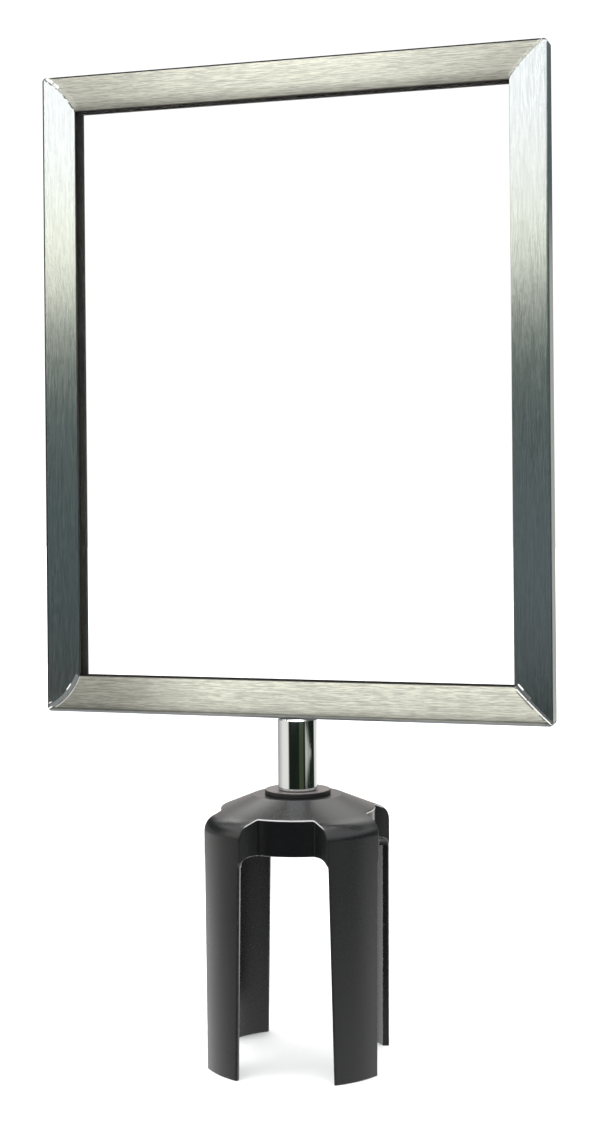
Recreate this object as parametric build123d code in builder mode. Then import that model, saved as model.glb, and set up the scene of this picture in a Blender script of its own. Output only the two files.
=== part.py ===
from build123d import *
import os
from math import hypot, radians, sin, sqrt, tan

# Sign holder for the top of a crowd-barrier post.
# A steel frame for a letter-size card (216 x 279 mm) stands on a short chrome stem.
# The stem is bolted to a four-legged cap that slips over the head of the post.
# Frame of the model: +Z up, front of the sign towards -Y, origin in the plane of the leg ends,
# below the middle of the sign. The stem and the cap stand a little to the right of that.
# All dimensions are in millimetres.

# Sign frame, folded from steel channel that opens towards the window
frame_width = 236.6
frame_height = 294.5
frame_depth = 10.7
bar_face = 16.7
steel = 1.0
corner_radius = 1.8
outer_edge_radius = 1.2
lip_edge_radius = 0.4

# Each mitre was ground by hand after welding: how far its seam bows into the rail
top_left_bow = 1.5
top_right_bow = 1.2
bottom_left_bow = 2.4
bottom_right_bow = 0.3
weld_leg = 2.0

# Loading slot in the top rail
slot_width = 217.2
slot_depth = 5.5

# Plastic guides inside the channel, an H in section with the groove towards the window
guide_wall = 1.6
guide_web = 1.2
groove_deep = 7.0
top_strip_gap = 0.2

# Clear lenses
lens_width = 216.4
lens_thickness = 2.2
card_space = 0.7
lens_top_drop = 1.4
lens_corner_radius = 1.0
lens_chamfer = 0.2

# Stem; stem_offset is how far its axis, the post's axis, stands right of the sign's middle
stem_offset = 2.1
stem_radius = 8.8
stem_wall = 1.5
stem_length = 32.3
stem_chamfer = 0.7
plug_height = 14.0
plug_clearance = 0.02
thread_clearance = 0.02

# Screw from the frame down into the stem
frame_screw_radius = 2.5
frame_screw_hole_radius = 2.75
frame_screw_head_radius = 4.25
frame_screw_head_height = 5.0
frame_screw_grip = 12.0
frame_screw_key = 4.0
frame_screw_key_depth = 2.5
screw_relief_width = 12.0

# Flanged washer under the stem
flange_radius = 14.75
flange_thickness = 2.1
flange_seat_thickness = 1.6
flange_seat_radius = 9.3
flange_edge_radius = 0.4

# Cap with four legs
cap_turn = 8.0
cap_height = 118.0
cap_radius = 43.4
cap_wall = 2.9
stop_ledge = 1.5
roof_flat_radius = 20.0
roof_slope = 22.0
shoulder_radius = 7.0
inner_shoulder_radius = 4.5
web_radius = 34.6
flare_angle = 46.0
web_corner_radius = 1.5
opening_height = 96.2
opening_half_width_top = 19.2
opening_half_width_bottom = 20.9
opening_corner_radius = 4.7
cap_edge_radius = 0.7

# Bolt from inside the cap up into the stem
bolt_radius = 4.0
bolt_running_clearance = 0.1
bolt_head_width = 13.0
bolt_head_height = 5.3
bolt_grip = 11.0
flat_washer_radius = 12.0
flat_washer_thickness = 2.0
lock_washer_radius = 7.4
lock_washer_thickness = 2.0
lock_washer_slit = 0.8

# Sizes that follow from the ones above
window_width = frame_width - 2 * bar_face
window_height = frame_height - 2 * bar_face
pocket_depth = frame_depth - 2 * steel
groove_width = pocket_depth - 2 * guide_wall
guide_depth_in_channel = bar_face - steel
stem_bottom = cap_height + flange_seat_thickness
frame_bottom = stem_bottom + stem_length
frame_top = frame_bottom + frame_height
frame_middle = frame_bottom + frame_height / 2
window_bottom = frame_bottom + bar_face
window_top = frame_top - bar_face
lens_bottom = window_bottom - groove_deep + 0.4
lens_height = frame_top - lens_top_drop - lens_bottom
stem_bore = stem_radius - stem_wall
bolt_hole_radius = bolt_radius + bolt_running_clearance
socket_radius = cap_radius - cap_wall
socket_height = opening_height - opening_corner_radius
cap_ceiling = cap_height - cap_wall
flat_washer_bottom = cap_ceiling - flat_washer_thickness
lock_washer_bottom = flat_washer_bottom - lock_washer_thickness

# Front view of the sign: x to the right, y up, from the middle of the frame
front_view = Plane(origin=(0, 0, frame_middle), x_dir=(1, 0, 0), z_dir=(0, -1, 0))

# Half section through the post's axis: x out from the axis, y up
post_section = Plane(origin=(stem_offset, 0, 0), x_dir=(1, 0, 0), z_dir=(0, -1, 0))
post_axis = Axis((stem_offset, 0, 0), (0, 0, 1))

os.makedirs("parts", exist_ok=True)


def save(piece, name):
    """Label a finished piece and write its own STEP file."""
    piece.label = name
    export_step(piece, "parts/" + name + ".step")


def post_level(height):
    """Level plane at a height, with its origin on the post's axis."""
    return Plane(origin=(stem_offset, 0, height))


# ---------------------------------------------------------------- sign frame
def frame_ring():
    """The whole frame as one ring of channel, before it is parted at the mitres."""
    with BuildPart() as ring:
        with BuildSketch(front_view):
            RectangleRounded(frame_width, frame_height, corner_radius)
            Rectangle(window_width, window_height, mode=Mode.SUBTRACT)
        extrude(amount=frame_depth / 2, both=True)
        faces = [ring.faces().sort_by(Axis.Y)[0], ring.faces().sort_by(Axis.Y)[-1]]
        outer_edges = [edge for face in faces for edge in face.outer_wire().edges()]
        fillet(outer_edges, outer_edge_radius)
        faces = [ring.faces().sort_by(Axis.Y)[0], ring.faces().sort_by(Axis.Y)[-1]]
        lip_edges = [edge for face in faces for edge in face.inner_wires()[0].edges()]
        fillet(lip_edges, lip_edge_radius)
        with BuildSketch(front_view):
            pocket_corner = corner_radius - steel
            RectangleRounded(frame_width - 2 * steel, frame_height - 2 * steel, pocket_corner)
        extrude(amount=pocket_depth / 2, both=True, mode=Mode.SUBTRACT)
    return ring.part


def seam(side_x, side_z, bow):
    """Three points of a mitre seam: outer corner, bowed middle, inner corner."""
    outer = (side_x * frame_width / 2, side_z * frame_height / 2)
    inner = (side_x * window_width / 2, side_z * window_height / 2)
    shift = bow / sqrt(2)
    middle = ((outer[0] + inner[0]) / 2 - side_x * shift, (outer[1] + inner[1]) / 2 + side_z * shift)
    return outer, middle, inner


def rail_zone(side_z, left_bow, right_bow):
    """Block that holds the top rail (side_z 1) or the bottom rail (side_z -1), seam to seam."""
    beyond = side_z * (frame_height / 2 + bar_face)
    with BuildPart() as zone:
        with BuildSketch(front_view):
            with BuildLine():
                left_seam = ThreePointArc(*seam(-1, side_z, left_bow))
                right_seam = ThreePointArc(*seam(1, side_z, right_bow))
                Line(left_seam @ 1, right_seam @ 1)
                Polyline(
                    left_seam @ 0,
                    (-frame_width / 2, beyond),
                    (frame_width / 2, beyond),
                    right_seam @ 0,
                )
            make_face()
        extrude(amount=frame_depth, both=True)
    return zone.part


ring_of_channel = frame_ring()
top_zone = rail_zone(1, top_left_bow, top_right_bow)
bottom_zone = rail_zone(-1, bottom_left_bow, bottom_right_bow)

with BuildPart() as top_rail:
    add(ring_of_channel)
    add(top_zone, mode=Mode.INTERSECT)
    with BuildSketch(Plane.XY.offset(frame_top)):
        RectangleRounded(slot_width, slot_depth, lens_chamfer)
    extrude(amount=-2 * steel, mode=Mode.SUBTRACT)
save(top_rail.part, "top_rail")

with BuildPart() as bottom_rail:
    add(ring_of_channel)
    add(bottom_zone, mode=Mode.INTERSECT)
    with BuildSketch(post_level(frame_bottom)):
        Circle(frame_screw_hole_radius)
    extrude(amount=2 * steel, mode=Mode.SUBTRACT)
save(bottom_rail.part, "bottom_rail")


def stile(side_to_keep):
    """What the two rails leave of the ring on one side of the window."""
    with BuildPart() as upright:
        add(ring_of_channel)
        add(top_zone, mode=Mode.SUBTRACT)
        add(bottom_zone, mode=Mode.SUBTRACT)
        split(bisect_by=Plane.YZ, keep=side_to_keep)
    return upright.part


save(stile(Keep.BOTTOM), "left_stile")
save(stile(Keep.TOP), "right_stile")

# Fillet of weld metal across the pocket in each inside corner
with BuildPart() as corner_welds:
    for side_x in (-1, 1):
        for side_z in (-1, 1):
            corner_x = side_x * (frame_width / 2 - steel)
            corner_z = side_z * (frame_height / 2 - steel)
            with BuildSketch(front_view):
                with BuildLine():
                    start = (corner_x - side_x * weld_leg, corner_z)
                    end = (corner_x, corner_z - side_z * weld_leg)
                    bulge = (corner_x - side_x * weld_leg * 0.42, corner_z - side_z * weld_leg * 0.42)
                    ThreePointArc(start, bulge, end)
                    inset = corner_radius - steel
                    Polyline(
                        end,
                        (corner_x, corner_z - side_z * inset),
                        (corner_x - side_x * inset, corner_z),
                        start,
                    )
                make_face()
            extrude(amount=pocket_depth / 2, both=True)
save(corner_welds.part, "corner_welds")


# ---------------------------------------------------------------- guides
def side_guide(side):
    """Guide in one upright: a groove for the lenses, and a hollow behind its web."""
    inner_face = window_width / 2
    hollow_deep = guide_depth_in_channel - groove_deep - guide_web
    with BuildPart() as guide:
        with BuildSketch(Plane.XY.offset(frame_bottom + steel + weld_leg)):
            with Locations((side * (inner_face + guide_depth_in_channel / 2), 0)):
                Rectangle(guide_depth_in_channel, pocket_depth)
            with Locations((side * (inner_face + groove_deep / 2), 0)):
                Rectangle(groove_deep, groove_width, mode=Mode.SUBTRACT)
            with Locations((side * (inner_face + guide_depth_in_channel - hollow_deep / 2), 0)):
                Rectangle(hollow_deep, groove_width, mode=Mode.SUBTRACT)
        extrude(amount=frame_height - 2 * steel - 2 * weld_leg)
    return guide.part


save(side_guide(-1), "left_guide")
save(side_guide(1), "right_guide")

# The bottom guide carries the lenses on its web; its lower walls make room for the screw's head
with BuildPart() as bottom_guide:
    with BuildSketch(Plane.YZ):
        with Locations((0, window_bottom - guide_depth_in_channel / 2)):
            Rectangle(pocket_depth, guide_depth_in_channel)
        with Locations((0, window_bottom - groove_deep / 2)):
            Rectangle(groove_width, groove_deep, mode=Mode.SUBTRACT)
        hollow_high = guide_depth_in_channel - groove_deep - guide_web
        with Locations((0, frame_bottom + steel + hollow_high / 2)):
            Rectangle(groove_width, hollow_high, mode=Mode.SUBTRACT)
    extrude(amount=window_width / 2, both=True)
    with BuildSketch(post_level(frame_bottom + steel)):
        Rectangle(screw_relief_width, pocket_depth)
    extrude(amount=hollow_high, mode=Mode.SUBTRACT)
save(bottom_guide.part, "bottom_guide")


def top_strip(side):
    """Flat strip in the top rail, in front of the slot (side -1) or behind it (side 1)."""
    with BuildPart() as strip:
        with BuildSketch(Plane.XY.offset(window_top)):
            with Locations((0, side * (pocket_depth - guide_wall) / 2)):
                Rectangle(window_width - 2 * top_strip_gap, guide_wall)
        extrude(amount=guide_depth_in_channel)
    return strip.part


save(top_strip(-1), "top_front_strip")
save(top_strip(1), "top_rear_strip")


# ---------------------------------------------------------------- lenses
def lens(side):
    """Clear sheet on the front side (-1) or the rear side (1) of the card."""
    with BuildPart() as sheet:
        lens_view = Plane(
            origin=(0, side * (card_space + lens_thickness) / 2, lens_bottom + lens_height / 2),
            x_dir=(1, 0, 0),
            z_dir=(0, -1, 0),
        )
        with BuildSketch(lens_view):
            RectangleRounded(lens_width, lens_height, lens_corner_radius)
        extrude(amount=lens_thickness / 2, both=True)
        flats = [sheet.faces().sort_by(Axis.Y)[0], sheet.faces().sort_by(Axis.Y)[-1]]
        chamfer([edge for face in flats for edge in face.edges()], lens_chamfer)
    return sheet.part


save(lens(-1), "front_lens")
save(lens(1), "rear_lens")

# ---------------------------------------------------------------- stem
with BuildPart() as stem_tube:
    with BuildSketch(post_level(stem_bottom)):
        Circle(stem_radius)
        Circle(stem_bore, mode=Mode.SUBTRACT)
    extrude(amount=stem_length)
    rims = stem_tube.edges().filter_by(GeomType.CIRCLE).group_by(SortBy.RADIUS)[-1]
    chamfer(rims, stem_chamfer)
save(stem_tube.part, "stem_tube")


def stem_plug(bottom, thread_radius, hole_from):
    """Tapped plug pressed into one end of the tube; hole_from is 'top' or 'bottom'."""
    closed_end = 1.0
    with BuildPart() as plug:
        with BuildSketch(post_level(bottom)):
            Circle(stem_bore - plug_clearance)
        extrude(amount=plug_height)
        hole_start = bottom if hole_from == "bottom" else bottom + closed_end
        with BuildSketch(post_level(hole_start)):
            Circle(thread_radius + thread_clearance)
        extrude(amount=plug_height - closed_end, mode=Mode.SUBTRACT)
    return plug.part


save(stem_plug(frame_bottom - plug_height, frame_screw_radius, "top"), "stem_upper_plug")
save(stem_plug(stem_bottom, bolt_radius, "bottom"), "stem_lower_plug")

# Socket-head screw: its head stands on the floor of the bottom rail
with BuildPart() as frame_screw:
    with BuildSketch(post_level(frame_bottom + steel)):
        Circle(frame_screw_head_radius)
    extrude(amount=frame_screw_head_height)
    head_rim = frame_screw.edges().filter_by(GeomType.CIRCLE).sort_by(Axis.Z)[-1]
    fillet(head_rim, lip_edge_radius)
    with BuildSketch(post_level(frame_bottom + steel)):
        Circle(frame_screw_radius)
    extrude(amount=-(steel + frame_screw_grip))
    with BuildSketch(post_level(frame_bottom + steel + frame_screw_head_height)):
        RegularPolygon(frame_screw_key / 2, 6, major_radius=False)
    extrude(amount=-frame_screw_key_depth, mode=Mode.SUBTRACT)
    shank_end = frame_screw.edges().filter_by(GeomType.CIRCLE).sort_by(Axis.Z)[0]
    chamfer(shank_end, lip_edge_radius)
save(frame_screw.part, "frame_screw")

# Flanged washer: a raised rim round a flat seat for the stem
with BuildPart() as stem_flange:
    with BuildSketch(post_section):
        with BuildLine():
            Polyline(
                (bolt_hole_radius, cap_height),
                (flange_radius, cap_height),
                (flange_radius, cap_height + flange_thickness),
                (flange_radius - 2 * flange_edge_radius, cap_height + flange_thickness),
                (flange_seat_radius, cap_height + flange_seat_thickness),
                (bolt_hole_radius, cap_height + flange_seat_thickness),
                close=True,
            )
        make_face()
    revolve(axis=post_axis)
    outer_rims = stem_flange.edges().filter_by(GeomType.CIRCLE).group_by(SortBy.RADIUS)[-1]
    fillet(outer_rims.sort_by(Axis.Z)[-1], flange_edge_radius)
save(stem_flange.part, "stem_flange")


# ---------------------------------------------------------------- cap
def cap_plane(quarter):
    """Level plane turned so that its x axis points out through one of the four openings."""
    return post_level(0).rotated((0, 0, cap_turn + 90 * quarter))


def cap_envelope(radius, inset, rounding):
    """Cap as a solid without its hollow: its roof, webs and flares are moved in by inset."""
    top = cap_height - inset
    flat_radius = roof_flat_radius - inset * tan(radians(roof_slope / 2))
    edge_height = top - (radius - flat_radius) * tan(radians(roof_slope))
    with BuildPart() as envelope:
        with BuildSketch(post_section):
            with BuildLine():
                Polyline(
                    (0, 0),
                    (radius, 0),
                    (radius, edge_height),
                    (flat_radius, top),
                    (0, top),
                    close=True,
                )
            make_face()
            shoulder = vertices().sort_by(Axis.X)[-2:].sort_by(Axis.Y)[-1]
            fillet(shoulder, rounding)
        revolve(axis=post_axis)
        # Between the legs stands a round web; flares lead from it out to the edges of the legs
        leg_edge_distance = sqrt(cap_radius**2 - opening_half_width_top**2)
        spread = tan(radians(flare_angle))
        apex = leg_edge_distance - opening_half_width_top / spread - inset / sin(radians(flare_angle))
        far = 2 * cap_radius
        for quarter in range(4):
            with BuildSketch(cap_plane(quarter)) as recess:
                with BuildLine():
                    Polyline(
                        (apex, 0),
                        (far, (far - apex) * spread),
                        (far, (apex - far) * spread),
                        close=True,
                    )
                make_face()
                Circle(web_radius - inset, mode=Mode.SUBTRACT)
                fillet(recess.vertices().group_by(SortBy.DISTANCE)[0], web_corner_radius + inset)
            extrude(amount=cap_height, mode=Mode.SUBTRACT)
    return envelope.part


def climbs_leg(edge):
    """True for an edge that runs up the outer face of a leg, from its end towards the roof."""
    on_face = all(
        abs(hypot(point.X - stem_offset, point.Y) - cap_radius) < 0.02
        for point in edge.positions([0.1, 0.5, 0.9])
    )
    return on_face and edge.bounding_box().size.Z > 2 * opening_corner_radius


cap_outside = cap_envelope(cap_radius, 0, shoulder_radius)
cap_inside = cap_envelope(socket_radius - stop_ledge, cap_wall, inner_shoulder_radius)

with BuildPart() as post_adapter:
    add(cap_outside)
    add(cap_inside, mode=Mode.SUBTRACT)
    # The post's head slides up between the legs until it meets the ledge at the top of this bore
    with BuildSketch(post_level(0)):
        Circle(socket_radius)
    extrude(amount=socket_height, mode=Mode.SUBTRACT)
    for quarter in range(4):
        outward = cap_plane(quarter)
        opening_view = Plane(origin=outward.origin, x_dir=outward.y_dir, z_dir=outward.x_dir)
        with BuildSketch(opening_view) as opening:
            with BuildLine():
                Polyline(
                    (-opening_half_width_bottom, 0),
                    (opening_half_width_bottom, 0),
                    (opening_half_width_top, opening_height),
                    (-opening_half_width_top, opening_height),
                    close=True,
                )
            make_face()
            fillet(opening.vertices().group_by(Axis.Y)[-1], opening_corner_radius)
        extrude(amount=cap_radius + cap_wall, mode=Mode.SUBTRACT)
    # The rounding follows each leg's edge up and over the shoulder, and along the roof
    fillet(post_adapter.edges().filter_by(climbs_leg), cap_edge_radius)
    with BuildSketch(post_level(cap_height)):
        Circle(bolt_hole_radius)
    extrude(amount=-2 * cap_wall, mode=Mode.SUBTRACT)
save(post_adapter.part, "post_adapter")

# ---------------------------------------------------------------- bolt and washers inside the cap
with BuildPart() as adapter_flat_washer:
    with BuildSketch(post_level(flat_washer_bottom)):
        Circle(flat_washer_radius)
        Circle(bolt_hole_radius, mode=Mode.SUBTRACT)
    extrude(amount=flat_washer_thickness)
save(adapter_flat_washer.part, "adapter_flat_washer")

with BuildPart() as adapter_lock_washer:
    with BuildSketch(post_level(lock_washer_bottom)):
        Circle(lock_washer_radius)
        Circle(bolt_hole_radius, mode=Mode.SUBTRACT)
        with Locations((lock_washer_radius, 0)):
            Rectangle(2 * lock_washer_radius, lock_washer_slit, rotation=20, mode=Mode.SUBTRACT)
    extrude(amount=lock_washer_thickness)
save(adapter_lock_washer.part, "adapter_lock_washer")

with BuildPart() as adapter_bolt:
    with BuildSketch(post_level(lock_washer_bottom)):
        RegularPolygon(bolt_head_width / 2, 6, major_radius=False)
    extrude(amount=-bolt_head_height)
    with BuildSketch(post_level(lock_washer_bottom)):
        Circle(bolt_radius)
    extrude(amount=stem_bottom + bolt_grip - lock_washer_bottom)
    shank_end = adapter_bolt.edges().filter_by(GeomType.CIRCLE).sort_by(Axis.Z)[-1]
    chamfer(shank_end, lip_edge_radius)
save(adapter_bolt.part, "adapter_bolt")
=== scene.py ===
import math

import bpy
from mathutils import Euler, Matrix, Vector


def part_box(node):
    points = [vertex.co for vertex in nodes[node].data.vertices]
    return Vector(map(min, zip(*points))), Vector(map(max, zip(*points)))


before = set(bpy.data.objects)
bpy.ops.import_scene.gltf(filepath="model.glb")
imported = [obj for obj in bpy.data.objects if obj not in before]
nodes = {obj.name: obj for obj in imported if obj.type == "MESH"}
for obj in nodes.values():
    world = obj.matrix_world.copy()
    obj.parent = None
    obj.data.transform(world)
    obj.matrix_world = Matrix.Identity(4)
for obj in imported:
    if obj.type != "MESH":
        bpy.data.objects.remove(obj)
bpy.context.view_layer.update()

# Post-top sign holder: brushed steel frame, chrome stem, black four-legged cap.
# Lengths are in metres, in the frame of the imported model: +Z up, the sign faces -Y.
millimetre = 0.001
degree = math.pi / 180
sign_low, sign_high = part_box("left_stile")[0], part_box("right_stile")[1]
sign_middle = (sign_low + sign_high) / 2
frame_low = Vector((sign_low.x, sign_low.y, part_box("bottom_rail")[0].z))
frame_high = Vector((sign_high.x, sign_high.y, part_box("top_rail")[1].z))
bar_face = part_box("left_stile")[1].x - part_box("left_stile")[0].x
# The cap's roof: a flat top, and a slope down from its rim
roof_flat_radius = 20 * millimetre
roof_slope = 22 * degree
# Colours of a painted dark reflection on the steel's edges, of dirt along the seams, and of painted
# highlights on ground marks, on the cap's edges and along its roof
dark_edge_reflection = (0.006, 0.006, 0.006)
seam_dirt = (0.018, 0.022, 0.020)
ground_mark_highlight = (0.92, 0.92, 0.88)
edge_highlight_colour = (0.55, 0.55, 0.57)
roof_edge_highlight_colour = (0.75, 0.73, 0.73)
# Light of the lit floor, and of the floor far behind the stand at and well below eye level
floor_light = (1.7, 1.7, 1.69)
far_floor_light = (0.42, 0.43, 0.43)
far_floor_light_low = (1.0, 1.0, 1.0)


# ---------------------------------------------------------------- node helpers
def add_node(tree, kind, inputs=None, **settings):
    """A shader node with its settings, its inputs given as values or as sockets to link."""
    made = tree.nodes.new(kind)
    for name, value in settings.items():
        setattr(made, name, value)
    for name, value in (inputs or {}).items():
        if isinstance(value, bpy.types.NodeSocket):
            tree.links.new(value, made.inputs[name])
        else:
            made.inputs[name].default_value = value
    return made


def math_node(tree, operation, *values):
    """Output of a Math node on numbers or sockets."""
    return add_node(tree, "ShaderNodeMath", dict(enumerate(values)), operation=operation).outputs[0]


def ramp_between(tree, value, low, high, to_low=0.0, to_high=1.0):
    """value from low to high, smoothly turned into to_low to to_high."""
    ranges = {"Value": value, "From Min": low, "From Max": high, "To Min": to_low, "To Max": to_high}
    made = add_node(tree, "ShaderNodeMapRange", ranges, interpolation_type="SMOOTHSTEP")
    return made.outputs["Result"]


def falling(tree, value, low, high):
    """1 where value is below low, smoothly down to 0 where it is above high."""
    return ramp_between(tree, value, low, high, 1.0, 0.0)


def opposite(tree, value):
    """1 minus the value."""
    return math_node(tree, "SUBTRACT", 1.0, value)


def sum_of(tree, first, second, first_share=1.0, second_share=1.0):
    """The two values added up, each times its share."""
    first = math_node(tree, "MULTIPLY", first, first_share)
    return math_node(tree, "MULTIPLY_ADD", second, second_share, first)


def parts_of(tree, vector):
    """The X, Y and Z outputs of a vector."""
    return add_node(tree, "ShaderNodeSeparateXYZ", {0: vector}).outputs


def object_place(tree):
    """The X, Y and Z of the point in the object's own coordinates."""
    return parts_of(tree, add_node(tree, "ShaderNodeTexCoord").outputs["Object"])


def mix_values(tree, factor, first, second):
    """Number mixed from first to second by factor."""
    return add_node(tree, "ShaderNodeMix", {0: factor, 2: first, 3: second}, data_type="FLOAT").outputs[0]


def mix_colours(tree, factor, first, second, blend="MIX"):
    """Colour mixed from first to second by factor."""
    made = add_node(tree, "ShaderNodeMix", data_type="RGBA", blend_type=blend)
    for socket, value in zip((made.inputs[0], made.inputs[6], made.inputs[7]), (factor, first, second)):
        if isinstance(value, bpy.types.NodeSocket):
            tree.links.new(value, socket)
        elif isinstance(value, tuple):
            socket.default_value = (*value, 1.0)
        else:
            socket.default_value = value
    return made.outputs[2]


def stretched_noise(tree, scale, stretch, detail=3.0, roughness=0.55):
    """Noise over the object's own coordinates, drawn out along the axis whose stretch is small."""
    place = add_node(tree, "ShaderNodeTexCoord").outputs["Object"]
    mapped = add_node(tree, "ShaderNodeMapping", {"Vector": place, "Scale": stretch})
    inputs = {
        "Vector": mapped.outputs["Vector"],
        "Scale": scale,
        "Detail": detail,
        "Roughness": roughness,
    }
    return add_node(tree, "ShaderNodeTexNoise", inputs).outputs["Fac"]


def new_material(name, **shader_values):
    """An empty material with one Principled shader; returns material, tree and shader."""
    material = bpy.data.materials.new(name)
    material.use_nodes = True
    tree = material.node_tree
    shader = tree.nodes["Principled BSDF"]
    for socket, value in shader_values.items():
        shader.inputs[socket.replace("_", " ")].default_value = value
    return material, tree, shader


# ---------------------------------------------------------------- materials
def band(tree, value, centre, half, soft):
    """1 within half of centre, falling to 0 over the distance soft."""
    away = math_node(tree, "ABSOLUTE", math_node(tree, "SUBTRACT", value, centre))
    return falling(tree, away, half, half + soft)


def product(tree, *values):
    """All the values multiplied together."""
    total = values[0]
    for value in values[1:]:
        total = math_node(tree, "MULTIPLY", total, value)
    return total


def strongest(tree, *values):
    """The largest of the values."""
    total = values[0]
    for value in values[1:]:
        total = math_node(tree, "MAXIMUM", total, value)
    return total


def frame_place(tree):
    """Distances of a point on the frame from its sides and ends, and its place at the nearest mitre."""
    place = object_place(tree)
    x = place["X"]
    z = math_node(tree, "SUBTRACT", place["Z"], (frame_low.z + frame_high.z) / 2)
    left = math_node(tree, "LESS_THAN", x, 0.0)
    top = math_node(tree, "GREATER_THAN", z, 0.0)
    from_side = math_node(tree, "SUBTRACT", frame_high.x, math_node(tree, "ABSOLUTE", x))
    half_height = (frame_high.z - frame_low.z) / 2
    from_end = math_node(tree, "SUBTRACT", half_height, math_node(tree, "ABSOLUTE", z))
    along = math_node(tree, "DIVIDE", math_node(tree, "ADD", from_side, from_end), 2 * bar_face)
    across = math_node(tree, "MULTIPLY", math_node(tree, "SUBTRACT", from_side, from_end), math.sqrt(0.5))
    return {"left": left, "top": top, "side": from_side, "end": from_end, "along": along, "across": across}


def at_corner(tree, place, left, top):
    """1 in the named quarter of the frame, 0 elsewhere."""
    sideways = place["left"] if left else opposite(tree, place["left"])
    upward = place["top"] if top else opposite(tree, place["top"])
    return product(tree, sideways, upward)


def mitre_marks(tree, place):
    """Masks of the bright and the dark marks that welding and grinding left along the four mitres; the
    bright ones are painted highlights on the ground spots.
    """
    rough = stretched_noise(tree, 2300.0, (1.0, 1.0, 1.0))
    patchy = stretched_noise(tree, 650.0, (1.0, 1.0, 1.0))
    speckled = ramp_between(tree, rough, 0.50, 0.58)
    broken = ramp_between(tree, patchy, 0.40, 0.52)
    along = place["along"]
    # How far each seam bows, in mm, by corner: (at the left, at the top)
    bows = {(True, True): 1.5, (False, True): 1.2, (True, False): 2.4, (False, False): 0.3}
    arch = product(tree, along, opposite(tree, along), 4.0)
    near_seam = {}
    for corner, bow in bows.items():
        shift = math_node(tree, "MULTIPLY", arch, bow * millimetre)
        near_seam[corner] = math_node(tree, "SUBTRACT", place["across"], shift)

    def mark(corner, start, end, centre, half, *masks):
        """A mark from start to end of the seam, as shares of it from the frame's outer corner.
        centre and half, half the mark's width, are in mm across the seam, the rail's side positive."""
        across = near_seam[corner]
        across_band = band(tree, across, centre * millimetre, half * millimetre, 0.25 * millimetre)
        along_band = band(tree, along, (start + end) / 2, (end - start) / 2, 0.03)
        return product(tree, at_corner(tree, place, *corner), across_band, along_band, *masks)

    top_left, top_right, bottom_left, bottom_right = bows
    bright = strongest(
        tree,
        mark(top_left, 0.10, 0.40, 0.9, 0.5, ramp_between(tree, patchy, 0.38, 0.46)),
        mark(top_left, 0.05, 0.95, 1.4, 1.0, speckled, 0.35),
        mark(top_right, 0.05, 0.95, 0.5, 0.8, speckled, 0.45),
        mark(bottom_left, 0.62, 0.74, -2.4, 0.12),
        mark(bottom_left, 0.05, 0.13, -0.9, 0.15),
        mark(bottom_left, 0.15, 0.19, -3.0, 0.15, 0.7),
        mark(bottom_left, 0.20, 0.98, 0.15, 0.05, broken, 0.5),
        mark(bottom_right, 0.09, 0.97, -0.25, 0.10, ramp_between(tree, patchy, 0.30, 0.40)),
        mark(bottom_right, 0.86, 0.97, -2.2, 0.25),
    )
    dark = strongest(
        tree,
        mark(top_left, 0.0, 1.0, -0.15, 0.22, broken, 0.85),
        mark(top_left, 0.25, 0.50, 1.7, 0.25, speckled),
        mark(top_right, 0.0, 0.45, 0.1, 0.35, speckled, 0.75),
        mark(top_right, 0.40, 1.0, 0.1, 0.10, broken, 0.45),
        mark(bottom_left, 0.06, 0.96, -1.15, 0.95, 0.62),
        mark(bottom_left, 0.0, 1.0, -0.25, 0.15, broken, 0.9),
        mark(bottom_right, 0.0, 0.96, -0.95, 0.30, 0.85),
        mark(bottom_right, 0.0, 0.90, 0.45, 0.22, broken, 0.75),
        mark(bottom_right, 0.66, 0.92, -1.7, 0.45, 0.8),
        mark(bottom_right, 0.0, 0.14, 1.2, 1.1, speckled),
    )
    return bright, dark


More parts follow.
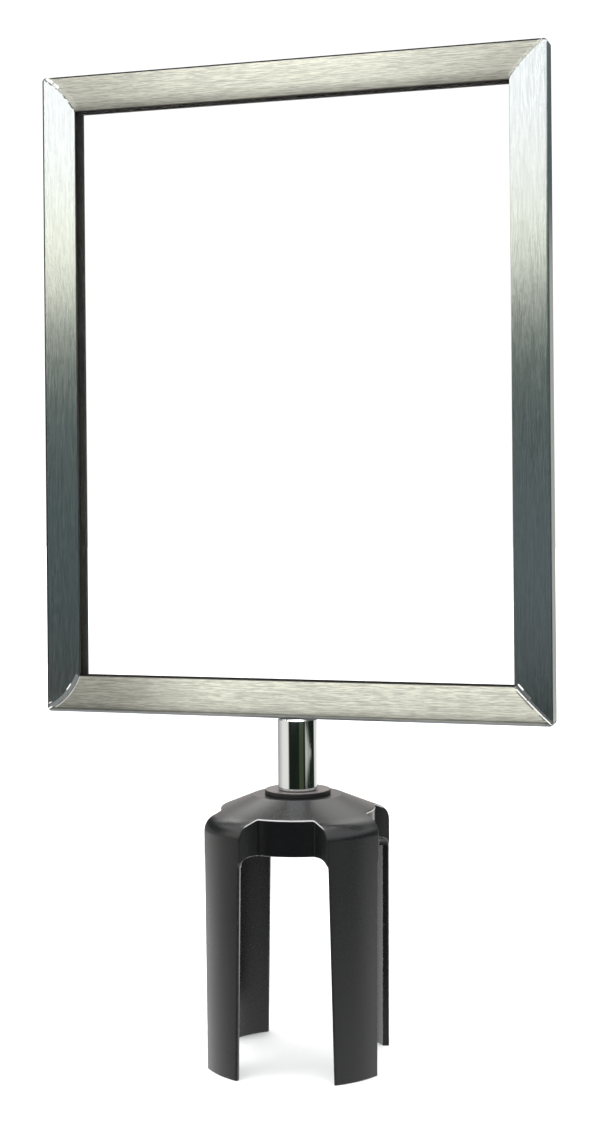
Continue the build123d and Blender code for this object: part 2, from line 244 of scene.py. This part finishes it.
def brushed_steel(name, brush, tint, roughness, contrast, shade=None):
    """Stainless steel brushed along the axis brush, as (1, 0, 0) or (0, 0, 1).
    shade, where given, makes a multiplier of the colour from the place on the frame, which paints light and
    shade on it."""
    material, tree, shader = new_material(name, Anisotropic=0.95)
    place = frame_place(tree)
    across = tuple(1.0 - abs(part) for part in brush)
    fine = stretched_noise(tree, 4000.0, tuple(a + 0.05 * abs(b) for a, b in zip(across, brush)))
    broad = stretched_noise(tree, 2400.0, tuple(a + 0.02 * abs(b) for a, b in zip(across, brush)))
    cloud = stretched_noise(tree, 22.0, (1.0, 1.0, 1.0))
    streak = sum_of(tree, fine, broad, 0.6, 0.4)
    darker = tuple(part * (1.0 - contrast) for part in tint)
    colour = mix_colours(tree, ramp_between(tree, streak, 0.40, 0.60), darker, tint)
    colour = mix_colours(tree, ramp_between(tree, cloud, 0.35, 0.75, 0.0, 0.12), colour, (0.5, 0.5, 0.46))
    # Painted light and shade, as a multiplier by the place on the frame
    if shade:
        colour = mix_colours(tree, 1.0, colour, shade(tree, place), "MULTIPLY")
    # Painted dark reflection in the rounding of the top and left edges, a painted darker rounding and a
    # painted dark line at the bottom
    upper = product(tree, place["top"], falling(tree, place["end"], 0.75 * millimetre, 1.1 * millimetre))
    outermost = falling(tree, place["side"], 0.85 * millimetre, 1.25 * millimetre)
    leftmost = product(tree, place["left"], outermost)
    colour = mix_colours(tree, strongest(tree, upper, leftmost), colour, dark_edge_reflection)
    lowest = opposite(tree, place["top"])
    rounding = product(tree, lowest, falling(tree, place["end"], 0.9 * millimetre, 1.2 * millimetre))
    colour = mix_colours(tree, rounding, colour, (0.22, 0.23, 0.24))
    line = band(tree, place["end"], 1.7 * millimetre, 0.2 * millimetre, 0.3 * millimetre)
    colour = mix_colours(tree, product(tree, lowest, line, 0.6), colour, (0.06, 0.07, 0.06))
    # Painted shade on the cut edges round the window, widening the dark reveal
    inward = math_node(tree, "MINIMUM", place["side"], place["end"])
    cut_start, cut_end = bar_face - 0.25 * millimetre, bar_face - 0.08 * millimetre
    cut_edge_shade = ramp_between(tree, inward, cut_start, cut_end, 0.0, 0.9)
    colour = mix_colours(tree, cut_edge_shade, colour, (0.035, 0.031, 0.027))
    bright, dark = mitre_marks(tree, place)
    colour = mix_colours(tree, dark, colour, seam_dirt)
    # Painted highlight: the ground spots made white and not metallic, so they show bright
    colour = mix_colours(tree, bright, colour, ground_mark_highlight)
    tree.links.new(colour, shader.inputs["Base Color"])
    unmarked = opposite(tree, product(tree, strongest(tree, bright, dark), 0.85))
    tree.links.new(unmarked, shader.inputs["Metallic"])
    tree.links.new(ramp_between(tree, streak, 0.25, 0.75, *roughness), shader.inputs["Roughness"])
    bump = add_node(tree, "ShaderNodeBump", {"Height": streak, "Strength": 0.4, "Distance": 0.00012})
    tree.links.new(bump.outputs["Normal"], shader.inputs["Normal"])
    # The sheen spreads across the brush lines
    turned = add_node(
        tree,
        "ShaderNodeVectorTransform",
        {"Vector": brush},
        vector_type="VECTOR",
        convert_from="OBJECT",
        convert_to="WORLD",
    )
    normal = add_node(tree, "ShaderNodeNewGeometry").outputs["Normal"]
    spread = add_node(
        tree,
        "ShaderNodeVectorMath",
        {0: normal, 1: turned.outputs["Vector"]},
        operation="CROSS_PRODUCT",
    )
    tree.links.new(spread.outputs["Vector"], shader.inputs["Tangent"])
    return material


def rail_painted_shade(tree, place):
    """Multiplier of the rails' colour that paints light and shade on them: darker towards their lower edge,
    the top one also towards its ends, and the bottom one towards its left end."""
    from_end, top = place["end"], place["top"]
    low = mix_values(tree, top, from_end, math_node(tree, "SUBTRACT", bar_face, from_end))
    share = math_node(tree, "DIVIDE", low, bar_face)
    level = sum_of(tree, ramp_between(tree, share, 0.0, 0.35, 0.45, 0.85), share, 1.0, 0.3)
    left_end = ramp_between(tree, place["side"], 25 * millimetre, 85 * millimetre, 0.50, 0.0)
    painted_dark_left_end = product(tree, at_corner(tree, place, True, False), left_end)
    ends = mix_values(tree, top, 1.04, ramp_between(tree, place["side"], 0.0, 100 * millimetre, 0.80, 1.06))
    return product(tree, level, ends, opposite(tree, painted_dark_left_end))


def bright_chrome(name):
    """Plated tube with faint drawing lines along its length."""
    material, tree, shader = new_material(name, Metallic=1.0)
    lines = stretched_noise(tree, 900.0, (1.0, 1.0, 0.02))
    colour = mix_colours(tree, lines, (0.80, 0.81, 0.81), (0.92, 0.93, 0.93))
    tree.links.new(colour, shader.inputs["Base Color"])
    tree.links.new(ramp_between(tree, lines, 0.3, 0.7, 0.03, 0.07), shader.inputs["Roughness"])
    bump = add_node(tree, "ShaderNodeBump", {"Height": lines, "Strength": 0.05, "Distance": 0.0001})
    tree.links.new(bump.outputs["Normal"], shader.inputs["Normal"])
    return material


def moulded_plastic(
    name, dark, light, roughness, specular=0.5, smooth=None, lines=None, edge_highlight_share=0.0, upward_colour=None
):
    """Black plastic with the fine grain of its mould and slightly uneven gloss.
    smooth makes a mask of the places that came out of the mould shinier, lines one of edges given a
    painted highlight, the next argument how strongly the other edges get a painted highlight, and the
    last colour lightens the faces that look up."""
    material, tree, shader = new_material(name, Specular_IOR_Level=specular)
    fine = stretched_noise(tree, 1800.0, (1.0, 1.0, 1.0), detail=2.0)
    cloud = stretched_noise(tree, 35.0, (1.0, 1.0, 0.6), detail=4.0)
    colour = mix_colours(tree, cloud, dark, light)
    # Edges that left the mould slightly rounded catch the light, and get a painted highlight in patches
    eased = add_node(tree, "ShaderNodeBevel", {"Radius": 0.5 * millimetre}, samples=6)
    surface = add_node(tree, "ShaderNodeNewGeometry").outputs["Normal"]
    if edge_highlight_share:
        two_normals = {0: eased.outputs["Normal"], 1: surface}
        compared = add_node(tree, "ShaderNodeVectorMath", two_normals, operation="DOT_PRODUCT")
        near_edge = falling(tree, compared.outputs["Value"], 0.86, 0.985)
        patches = ramp_between(tree, stretched_noise(tree, 260.0, (1.0, 1.0, 1.0)), 0.35, 0.60, 0.35, 1.0)
        colour = mix_colours(tree, product(tree, near_edge, patches, edge_highlight_share), colour, edge_highlight_colour)
    # Painted highlight along the edges that lines marks
    if lines:
        colour = mix_colours(tree, product(tree, lines(tree), 0.70), colour, roof_edge_highlight_colour)
    # The faces that look up are lighter, in patches
    if upward_colour:
        facing_up = ramp_between(tree, parts_of(tree, surface)["Z"], 0.80, 0.95)
        facing_up_share = product(tree, facing_up, ramp_between(tree, cloud, 0.2, 0.6, 0.7, 1.0))
        colour = mix_colours(tree, facing_up_share, colour, upward_colour)
    tree.links.new(colour, shader.inputs["Base Color"])
    uneven = sum_of(tree, fine, cloud, 0.5, 0.5)
    gloss = ramp_between(tree, uneven, 0.3, 0.7, *roughness)
    if smooth:
        gloss = mix_values(tree, smooth(tree), gloss, 0.17)
    tree.links.new(gloss, shader.inputs["Roughness"])
    bump_inputs = {"Height": fine, "Strength": 0.12, "Distance": 0.0002, "Normal": eased.outputs["Normal"]}
    bump = add_node(tree, "ShaderNodeBump", bump_inputs)
    tree.links.new(bump.outputs["Normal"], shader.inputs["Normal"])
    return material


def cap_place(tree):
    """Distance from the post's axis and depth below the cap's highest level."""
    place = object_place(tree)
    cap_low, cap_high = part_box("post_adapter")
    sideways = math_node(tree, "SUBTRACT", place["X"], (cap_low.x + cap_high.x) / 2)
    squares = [math_node(tree, "MULTIPLY", part, part) for part in (sideways, place["Y"])]
    radius = math_node(tree, "SQRT", math_node(tree, "ADD", *squares))
    return radius, math_node(tree, "SUBTRACT", cap_high.z, place["Z"])


def cap_webs(tree):
    """1 on the cap's recessed webs, falling to 0 out along the flares and up on the roof."""
    radius, depth = cap_place(tree)
    inside = falling(tree, radius, 36 * millimetre, 42 * millimetre)
    return product(tree, inside, ramp_between(tree, depth, 6 * millimetre, 7.5 * millimetre))


def cap_roof_lines(tree):
    """1 along the top of the webs and flares, where they meet the sloping roof: where the cap gets a
    painted highlight.
    """
    radius, depth = cap_place(tree)
    out_on_slope = math_node(tree, "SUBTRACT", radius, roof_flat_radius)
    roof_depth = math_node(tree, "MULTIPLY", out_on_slope, math.tan(roof_slope))
    below_roof = math_node(tree, "SUBTRACT", depth, roof_depth)
    near_roof = falling(tree, below_roof, 0.35 * millimetre, 0.8 * millimetre)
    normal = parts_of(tree, add_node(tree, "ShaderNodeNewGeometry").outputs["Normal"])
    steep = falling(tree, normal["Z"], 0.45, 0.65)
    outside = ramp_between(tree, radius, 33.6 * millimetre, 34.2 * millimetre)
    return product(tree, near_roof, steep, outside)


def clear_acrylic(name):
    """Thin clear sheet: seen through, with faint smears, and tinted along its sawn edges."""
    material, tree, shader = new_material(name)
    smear = stretched_noise(tree, 30.0, (1.0, 1.0, 0.35), detail=5.0)
    colour = mix_colours(tree, smear, (0.30, 0.32, 0.32), (0.38, 0.40, 0.40))
    facing = parts_of(tree, add_node(tree, "ShaderNodeTexCoord").outputs["Normal"])
    edge = falling(tree, math_node(tree, "ABSOLUTE", facing["Y"]), 0.5, 0.9)
    colour = mix_colours(tree, edge, colour, (0.16, 0.24, 0.22))
    tree.links.new(colour, shader.inputs["Base Color"])
    tree.links.new(mix_values(tree, edge, 0.02, 0.7), shader.inputs["Alpha"])
    tree.links.new(ramp_between(tree, smear, 0.35, 0.7, 0.02, 0.07), shader.inputs["Roughness"])
    return material


def machined_steel(name, tint, roughness):
    """Turned or plated small hardware."""
    material, tree, shader = new_material(name, Metallic=1.0)
    rings = stretched_noise(tree, 1500.0, (1.0, 1.0, 1.0))
    darker = tuple(part * 0.8 for part in tint)
    tree.links.new(mix_colours(tree, rings, darker, tint), shader.inputs["Base Color"])
    gloss = ramp_between(tree, rings, 0.3, 0.7, roughness, roughness + 0.12)
    tree.links.new(gloss, shader.inputs["Roughness"])
    bump = add_node(tree, "ShaderNodeBump", {"Height": rings, "Strength": 0.1, "Distance": 0.0001})
    tree.links.new(bump.outputs["Normal"], shader.inputs["Normal"])
    return material


# The rails' tint is warmer than the stiles': a painted warm reflection on the same steel
rail_steel = brushed_steel(
    "rail_steel",
    brush=(1.0, 0.0, 0.0),
    tint=(0.725, 0.718, 0.612),
    roughness=(0.36, 0.46),
    contrast=0.42,
    shade=rail_painted_shade,
)
stile_steel = brushed_steel(
    "stile_steel",
    brush=(0.0, 0.0, 1.0),
    tint=(0.615, 0.645, 0.635),
    roughness=(0.17, 0.24),
    contrast=0.17,
)
chrome = bright_chrome("stem_chrome")
cap_plastic = moulded_plastic(
    "cap_plastic",
    dark=(0.0030, 0.0030, 0.0034),
    light=(0.0048, 0.0048, 0.0054),
    roughness=(0.26, 0.33),
    smooth=cap_webs,
    lines=cap_roof_lines,
    edge_highlight_share=0.5,
)
flange_plastic = moulded_plastic(
    "flange_plastic",
    dark=(0.006, 0.005, 0.005),
    light=(0.010, 0.008, 0.008),
    roughness=(0.34, 0.46),
    upward_colour=(0.125, 0.108, 0.104),
)
guide_plastic = moulded_plastic(
    "guide_plastic",
    dark=(0.012, 0.010, 0.008),
    light=(0.018, 0.015, 0.012),
    roughness=(0.75, 0.9),
    specular=0.03,
)
acrylic = clear_acrylic("lens_acrylic")
zinc = machined_steel("fastener_zinc", (0.66, 0.67, 0.69), 0.28)
turned_steel = machined_steel("plug_steel", (0.50, 0.50, 0.50), 0.30)
weld_metal = machined_steel("weld_metal", (0.45, 0.42, 0.38), 0.40)

finishes = {
    "top_rail": rail_steel,
    "bottom_rail": rail_steel,
    "left_stile": stile_steel,
    "right_stile": stile_steel,
    "corner_welds": weld_metal,
    "left_guide": guide_plastic,
    "right_guide": guide_plastic,
    "bottom_guide": guide_plastic,
    "top_front_strip": guide_plastic,
    "top_rear_strip": guide_plastic,
    "front_lens": acrylic,
    "rear_lens": acrylic,
    "frame_screw": zinc,
    "stem_tube": chrome,
    "stem_upper_plug": turned_steel,
    "stem_lower_plug": turned_steel,
    "stem_flange": flange_plastic,
    "post_adapter": cap_plastic,
    "adapter_flat_washer": zinc,
    "adapter_lock_washer": zinc,
    "adapter_bolt": zinc,
}
for node_name, finish in finishes.items():
    nodes[node_name].data.materials.clear()
    nodes[node_name].data.materials.append(finish)


# ---------------------------------------------------------------- studio
def white_floor():
    """Pale matt floor under the cap's legs."""
    bpy.ops.mesh.primitive_plane_add(size=12.0, location=(0, 0, 0))
    floor = bpy.context.object
    floor.name = "floor"
    material, tree, shader = new_material("floor_paper", Roughness=0.9)
    shader.inputs["Specular IOR Level"].default_value = 0.1
    mottle = stretched_noise(tree, 6.0, (1.0, 1.0, 1.0))
    colour = mix_colours(tree, mottle, (0.90, 0.90, 0.90), (0.94, 0.94, 0.94))
    tree.links.new(colour, shader.inputs["Base Color"])
    floor.data.materials.append(material)
    floor.visible_glossy = False


def white_backdrop():
    """Glowing white sphere round the studio that only the camera sees."""
    bpy.ops.mesh.primitive_uv_sphere_add(segments=48, ring_count=24, radius=9.0)
    backdrop = bpy.context.object
    backdrop.name = "backdrop"
    material = bpy.data.materials.new("backdrop_light")
    material.use_nodes = True
    tree = material.node_tree
    tree.nodes.clear()
    light = add_node(tree, "ShaderNodeEmission", {"Color": (1.0, 1.0, 1.0, 1.0), "Strength": 1.1})
    add_node(tree, "ShaderNodeOutputMaterial", {"Surface": light.outputs[0]})
    material.cycles.emission_sampling = "NONE"
    backdrop.data.materials.append(material)
    backdrop.visible_diffuse = False
    backdrop.visible_glossy = False
    backdrop.visible_transmission = False
    backdrop.visible_shadow = False
    backdrop.visible_volume_scatter = False


def room_light(tree, direction):
    """Colour of the room's light by direction: what the metal mirrors and the plastic is lit by."""
    unit = add_node(tree, "ShaderNodeVectorMath", {0: direction}, operation="NORMALIZE").outputs["Vector"]
    parts = parts_of(tree, unit)
    bearing = math_node(tree, "ARCTAN2", parts["X"], math_node(tree, "MULTIPLY", parts["Y"], -1.0))
    rise = math_node(tree, "ARCSINE", parts["Z"])

    def turn(start, end, low=0.0, high=1.0):
        """low to high as the bearing goes from start to end, in degrees from -Y towards +X."""
        return ramp_between(tree, bearing, start * degree, end * degree, low, high)

    def climb(start, end, low=0.0, high=1.0, value=rise):
        """low to high as the elevation goes from start to end, in degrees."""
        return ramp_between(tree, value, start * degree, end * degree, low, high)

    # In front of the sign: dark below eye level, and a wall of light above it that is strongest
    # between 18 and 16 degrees to the left and dimmer on both sides of that
    dimmer = product(tree, turn(-38, -28), turn(-7, 3, 1.0, 0.0), 1.1)
    peak = product(tree, turn(-29, -18), turn(-16.5, -10.5, 1.0, 0.0), 3.2)
    front_glow = math_node(tree, "SUBTRACT", math_node(tree, "ADD", 1.62, peak), dimmer)
    tilted = math_node(tree, "SUBTRACT", rise, math_node(tree, "MULTIPLY", bearing, 0.07))
    low_front = mix_colours(tree, climb(-7, 5.0), (0.010, 0.015, 0.010), (0.24, 0.31, 0.25))
    cooler = mix_colours(tree, 0.75, low_front, (0.064, 0.093, 0.108))
    low_front = mix_colours(tree, climb(-7, -3.5), low_front, cooler)
    olive = product(tree, turn(24, 30), turn(50, 56, 1.0, 0.0), climb(-20, -14), climb(-6, -2, 1.0, 0.0))
    low_front = mix_colours(tree, olive, low_front, (0.050, 0.064, 0.036))
    bluish_heights = product(tree, climb(-7.6, -6.2), climb(-1, 2, 1.0, 0.0))
    bluish = product(tree, turn(-24, -12), turn(50, 68, 1.0, 0.0), bluish_heights)
    low_front = mix_colours(tree, bluish, low_front, (0.17, 0.20, 0.215))
    # A bright diamond low on the right, its point drawn out sideways
    off_level = math_node(tree, "ABSOLUTE", math_node(tree, "SUBTRACT", rise, -8.4 * degree))
    narrowing = math_node(tree, "MULTIPLY", math_node(tree, "SQRT", off_level), 52 * math.sqrt(degree))
    reach = math_node(tree, "ADD", bearing, narrowing)
    slit = product(tree, turn(62, 66), ramp_between(tree, reach, 113 * degree, 118 * degree, 1.0, 0.0))
    low_front = mix_colours(tree, slit, low_front, (0.55, 0.58, 0.52))
    above = climb(6.4, 7.9, value=tilted)
    warmth = mix_colours(tree, climb(7.5, 10), (1.0, 0.99, 0.84), (1.0, 1.01, 1.03))
    bright_front = mix_colours(tree, 1.0, warmth, front_glow, "MULTIPLY")
    front = mix_colours(tree, above, low_front, bright_front)
    # Beside and behind it: pale below and dimmer towards the back left, dark just above the horizon
    pale = mix_colours(tree, turn(-130, -64), (0.40, 0.40, 0.39), (0.85, 0.85, 0.82))
    pale = mix_colours(tree, turn(0, 60), pale, (0.78, 0.78, 0.75))
    low_left = product(tree, turn(-128, -100, 1.0, 0.0), climb(-12.5, -10, 1.0, 0.0))
    pale = mix_colours(tree, low_left, pale, (0.62, 0.62, 0.60))
    behind = mix_colours(tree, climb(-6, -1), pale, (0.44, 0.45, 0.42))
    behind = mix_colours(tree, climb(1, 11), behind, (0.06, 0.07, 0.075))
    right_back = product(tree, turn(140, 156), climb(-9, -6), climb(5.5, 9.5, 1.0, 0.0))
    behind = mix_colours(tree, right_back, behind, (0.64, 0.63, 0.60))
    behind = mix_colours(tree, product(tree, turn(140, 156), climb(7, 10)), behind, (0.11, 0.14, 0.14))
    far_left = product(tree, turn(-150, -140, 1.0, 0.0), climb(-4, 2), climb(24, 34, 1.0, 0.0))
    behind = mix_colours(tree, far_left, behind, (0.85, 0.80, 0.78))
    sliver = product(tree, turn(160, 170), climb(-18, -14), climb(-8.2, -7.2, 1.0, 0.0))
    behind = mix_colours(tree, sliver, behind, (1.2, 1.2, 1.17))
    # Above the horizon the front reaches further round to the left
    left_limit = mix_values(tree, climb(-7.4, -6.4), turn(-42, -30), turn(-66, -44))
    left_limit = mix_values(tree, climb(0, 3), left_limit, turn(-90, -72))
    left_limit = mix_values(tree, climb(-10.6, -9.6), turn(-102, -72), left_limit)
    in_front = product(tree, left_limit, turn(126, 138, 1.0, 0.0))
    colour = mix_colours(tree, in_front, behind, front)
    # High up beside and behind hangs a large soft light, stronger on the left; overhead a small bright one
    side_level = ramp_between(tree, parts["X"], -0.6, 0.6, 3.3, 1.2)
    overhead = mix_colours(tree, 1.0, (1.0, 1.0, 0.98), side_level, "MULTIPLY")
    high_front = product(tree, turn(-140, -40), turn(80, 170, 1.0, 0.0))
    colour = mix_colours(tree, product(tree, climb(24, 38), opposite(tree, high_front)), colour, overhead)
    colour = mix_colours(tree, climb(66, 78), colour, (5.0, 5.0, 4.9))
    # The lit floor, which starts nearer the horizon beside and behind the stand than in front of it
    beside = opposite(tree, product(tree, turn(-110, -75), turn(75, 112, 1.0, 0.0)))
    ahead = product(tree, turn(-80, -50), turn(40, 60, 1.0, 0.0))
    near_floor = mix_values(tree, ahead, climb(-21, -11.5, 1.0, 0.0), climb(-30, -16, 1.0, 0.0))
    lit_floor = strongest(tree, near_floor, product(tree, beside, climb(-13.5, -10, 1.0, 0.0)))
    # Further off behind the stand the floor is greyer
    not_behind = product(tree, turn(-142, -132), turn(126, 134, 1.0, 0.0))
    grey_floor = product(tree, opposite(tree, not_behind), climb(-16.5, -13.0, 1.0, 0.0))
    far_floor = mix_colours(tree, climb(-50, -20), far_floor_light_low, far_floor_light)
    floor_colour = mix_colours(tree, grey_floor, floor_light, far_floor)
    return mix_colours(tree, lit_floor, colour, floor_colour)


def studio_world():
    """The room as the scene's world."""
    world = bpy.data.worlds.new("studio")
    world.use_nodes = True
    tree = world.node_tree
    direction = add_node(tree, "ShaderNodeTexCoord").outputs["Generated"]
    tree.links.new(room_light(tree, direction), tree.nodes["Background"].inputs["Color"])
    bpy.context.scene.world = world


def soft_light(name, place, size, power, target=sign_middle):
    """Square area light aimed at target; reflections come from the room instead."""
    data = bpy.data.lights.new(name, "AREA")
    data.size = size
    data.energy = power
    lamp = bpy.data.objects.new(name, data)
    lamp.location = place
    lamp.rotation_euler = (Vector(target) - Vector(place)).to_track_quat("-Z", "Y").to_euler()
    lamp.visible_glossy = False
    bpy.context.scene.collection.objects.link(lamp)


white_floor()
white_backdrop()
studio_world()
soft_light("key_left", place=(-1.4, -1.0, 1.6), size=1.2, power=12.0)
bpy.context.scene.view_settings.view_transform = "Standard"


# ---------------------------------------------------------------- camera
camera_bearing = math.radians(17.58)
camera_distance = 0.8227
camera_side_step = 0.0049
camera_height = 0.2581
camera_roll = math.radians(-0.50)
camera_data = bpy.data.cameras.new("camera")
camera_data.lens = 59.05
camera_data.sensor_width = 36.0
camera_data.shift_y = -0.0728
camera = bpy.data.objects.new("camera", camera_data)
away = Vector((math.sin(camera_bearing), -math.cos(camera_bearing), 0))
to_right = Vector((math.cos(camera_bearing), math.sin(camera_bearing), 0))
sign_face = Vector((0, sign_low.y, camera_height))
camera.location = sign_face + away * camera_distance + to_right * camera_side_step
aim = Euler((math.pi / 2, 0, camera_bearing)).to_matrix()
camera.rotation_euler = (aim @ Euler((0, 0, camera_roll)).to_matrix()).to_euler()
bpy.context.scene.collection.objects.link(camera)
bpy.context.scene.camera = camera
